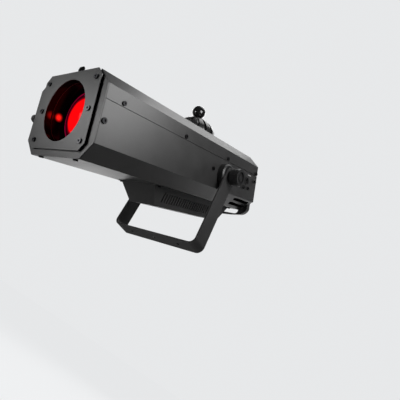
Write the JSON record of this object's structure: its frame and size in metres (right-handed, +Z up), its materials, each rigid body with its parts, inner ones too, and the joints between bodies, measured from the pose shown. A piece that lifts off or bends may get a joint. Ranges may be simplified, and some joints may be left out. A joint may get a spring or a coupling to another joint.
{
  "type": "ellipsoidal spotlight",
  "caption": "Octagonal black LED followspot in a strap yoke, with a recessed red lens, a ribbed iris dome with a ball lever, a driver box below and a rear pan handle.",
  "frame": {"origin": "centre of the yoke's middle hole, on the underside of the yoke base", "axes": "+Z up the yoke arms, +X along the tilt axis, beam towards -Y and tipped 27.3 degrees down at rest"},
  "size_m": [0.322, 0.6598, 0.4446],
  "materials": {
    "black_steel": "fine satin powder coat",
    "hub_black": "gloss",
    "knob_black": "satin gloss",
    "dome_black": "gloss",
    "black_screw": "black oxide",
    "steel": "turned",
    "lens_glass": "polished, lit red",
    "optic_glass": "polished",
    "filter_glass": "dichroic",
    "tube_black": "semi-gloss black anodised",
    "aluminium": "satin",
    "board": "solder mask",
    "module": "satin",
    "matte_black": "matte",
    "display": "gloss",
    "label": "matte",
    "blade_steel": "dark spring steel"
  },
  "bodies": {
    "yoke": {"yoke_bracket": "black_steel", "yoke_weld_nuts": "steel", "friction_washers": "matte_black"},
    "head": {"lower_shell": "black_steel", "top_cover": "black_steel", "front_collar": "black_steel", "face_plate": "black_steel", "rear_panel": "black_steel", "rear_handle": "black_steel", "driver_box": "black_steel", "pivot_hubs": "hub_black", "iris_cover": "dome_black", "face_plate_screws": "black_screw", "housing_screws": "black_screw", "rear_screws": "black_screw", "plate_standoffs": "black_screw", "lens_retainer": "black_screw", "pivot_studs": "steel", "guide_rods": "steel", "front_lens": "lens_glass", "condenser_lens": "optic_glass", "lens_tube": "tube_black", "light_sleeve": "tube_black", "iris_base": "tube_black", "gate_plate": "tube_black", "heatsink": "aluminium", "led_board": "board", "control_board": "board", "led_driver": "module", "power_supply": "module", "wheel_motor": "module", "fan_housing": "matte_black", "power_inlet": "matte_black", "switch_body": "matte_black", "dmx_sockets": "matte_black", "display": "display", "side_label": "label"},
    "right_knob": {"tilt_knob_right": "knob_black"},
    "left_knob": {"tilt_knob_left": "knob_black"},
    "filter_frame": {"gel_frame": "black_steel"},
    "frame_lock": {"frame_lock_screw": "knob_black"},
    "focus_carriage": {"lens_carriage": "tube_black", "focus_lens": "optic_glass"},
    "focus_lock": {"focus_knob": "knob_black"},
    "iris_control": {"iris_lever": "black_screw", "iris_ball": "knob_black"},
    "wheel": {"colour_wheel": "tube_black", "colour_filters": "filter_glass"},
    "fan": {"fan_rotor": "matte_black"},
    "rocker": {"power_switch": "matte_black"},
    "blade_1": {"iris_blade_1": "blade_steel"},
    "blade_2": {"iris_blade_2": "blade_steel"},
    "blade_3": {"iris_blade_3": "blade_steel"},
    "blade_4": {"iris_blade_4": "blade_steel"},
    "blade_5": {"iris_blade_5": "blade_steel"},
    "blade_6": {"iris_blade_6": "blade_steel"},
    "button_1": {"menu_button_1": "matte_black"},
    "button_2": {"menu_button_2": "matte_black"},
    "button_3": {"menu_button_3": "matte_black"},
    "button_4": {"menu_button_4": "matte_black"}
  },
  "joints": [
    {"name": "head_tilt", "type": "hinge", "parent": "yoke", "child": "head", "pos_m": [0, 0, 0.2126], "axis": [1, 0, 0], "range_deg": [-75, 20]},
    {"name": "tilt_knob_right_turn", "type": "hinge", "parent": "head", "child": "right_knob", "pos_m": [0.147, 0, 0.2126], "axis": [1, 0, 0], "range_deg": [0, 360]},
    {"name": "tilt_knob_left_turn", "type": "hinge", "parent": "head", "child": "left_knob", "pos_m": [-0.147, 0, 0.2126], "axis": [-1, 0, 0], "range_deg": [0, 360]},
    {"name": "frame_slide", "type": "slide", "parent": "head", "child": "filter_frame", "axis": [0, -0.4587, 0.8886], "range_m": [0, 0.16]},
    {"name": "frame_lock_turn", "type": "hinge", "parent": "head", "child": "frame_lock", "pos_m": [-0.11, -0.38595, 0.02915], "axis": [-1, 0, 0], "range_deg": [0, 360]},
    {"name": "focus_slide", "type": "slide", "parent": "head", "child": "focus_carriage", "axis": [0, 0.8886, 0.4587], "range_m": [-0.05, 0.05]},
    {"name": "focus_knob_turn", "type": "hinge", "parent": "focus_carriage", "child": "focus_lock", "pos_m": [0, -0.26515, 0.20741], "axis": [0, -0.4587, 0.8886], "range_deg": [0, 360]},
    {"name": "iris_turn", "type": "hinge", "parent": "head", "child": "iris_control", "pos_m": [0, -0.017, 0.23027], "axis": [0, -0.8886, -0.4587], "range_deg": [-20, 20]},
    {"name": "blade_turn_1", "type": "hinge", "parent": "head", "child": "blade_1", "pos_m": [0.057, -0.01513, 0.23124], "axis": [0, -0.8886, -0.4587], "range_deg": [-20, 20]},
    {"name": "blade_turn_2", "type": "hinge", "parent": "head", "child": "blade_2", "pos_m": [0.0285, -0.03777, 0.2751], "axis": [0, -0.8886, -0.4587], "range_deg": [-20, 20]},
    {"name": "blade_turn_3", "type": "hinge", "parent": "head", "child": "blade_3", "pos_m": [-0.0285, -0.03777, 0.2751], "axis": [0, -0.8886, -0.4587], "range_deg": [-20, 20]},
    {"name": "blade_turn_4", "type": "hinge", "parent": "head", "child": "blade_4", "pos_m": [-0.057, -0.01513, 0.23124], "axis": [0, -0.8886, -0.4587], "range_deg": [-20, 20]},
    {"name": "blade_turn_5", "type": "hinge", "parent": "head", "child": "blade_5", "pos_m": [-0.0285, 0.00751, 0.18737], "axis": [0, -0.8886, -0.4587], "range_deg": [-20, 20]},
    {"name": "blade_turn_6", "type": "hinge", "parent": "head", "child": "blade_6", "pos_m": [0.0285, 0.00751, 0.18737], "axis": [0, -0.8886, -0.4587], "range_deg": [-20, 20]},
    {"name": "wheel_spin", "type": "hinge", "parent": "head", "child": "wheel", "pos_m": [-0.04, -0.00011, 0.23899], "axis": [0, -0.8886, -0.4587], "continuous": true},
    {"name": "fan_spin", "type": "hinge", "parent": "head", "child": "fan", "pos_m": [0, 0.11839, 0.29283], "axis": [0, -0.8886, -0.4587], "continuous": true},
    {"name": "button_press_1", "type": "slide", "parent": "head", "child": "button_1", "axis": [0, -0.8886, -0.4587], "range_m": [0, 0.0015], "stiffness_N_per_m": 400, "springref_m": -0.0006},
    {"name": "button_press_2", "type": "slide", "parent": "head", "child": "button_2", "axis": [0, -0.8886, -0.4587], "range_m": [0, 0.0015], "stiffness_N_per_m": 400, "springref_m": -0.0006},
    {"name": "button_press_3", "type": "slide", "parent": "head", "child": "button_3", "axis": [0, -0.8886, -0.4587], "range_m": [0, 0.0015], "stiffness_N_per_m": 400, "springref_m": -0.0006},
    {"name": "button_press_4", "type": "slide", "parent": "head", "child": "button_4", "axis": [0, -0.8886, -0.4587], "range_m": [0, 0.0015], "stiffness_N_per_m": 400, "springref_m": -0.0006},
    {"name": "switch_rock", "type": "hinge", "parent": "head", "child": "rocker", "pos_m": [0.044, 0.17876, 0.29361], "axis": [0, -0.4587, 0.8886], "range_deg": [-16, 0]}
  ],
  "couplings": [
    {"joint": "blade_turn_1", "follows": "iris_turn", "ratio": 1},
    {"joint": "blade_turn_2", "follows": "iris_turn", "ratio": 1},
    {"joint": "blade_turn_3", "follows": "iris_turn", "ratio": 1},
    {"joint": "blade_turn_4", "follows": "iris_turn", "ratio": 1},
    {"joint": "blade_turn_5", "follows": "iris_turn", "ratio": 1},
    {"joint": "blade_turn_6", "follows": "iris_turn", "ratio": 1}
  ]
}
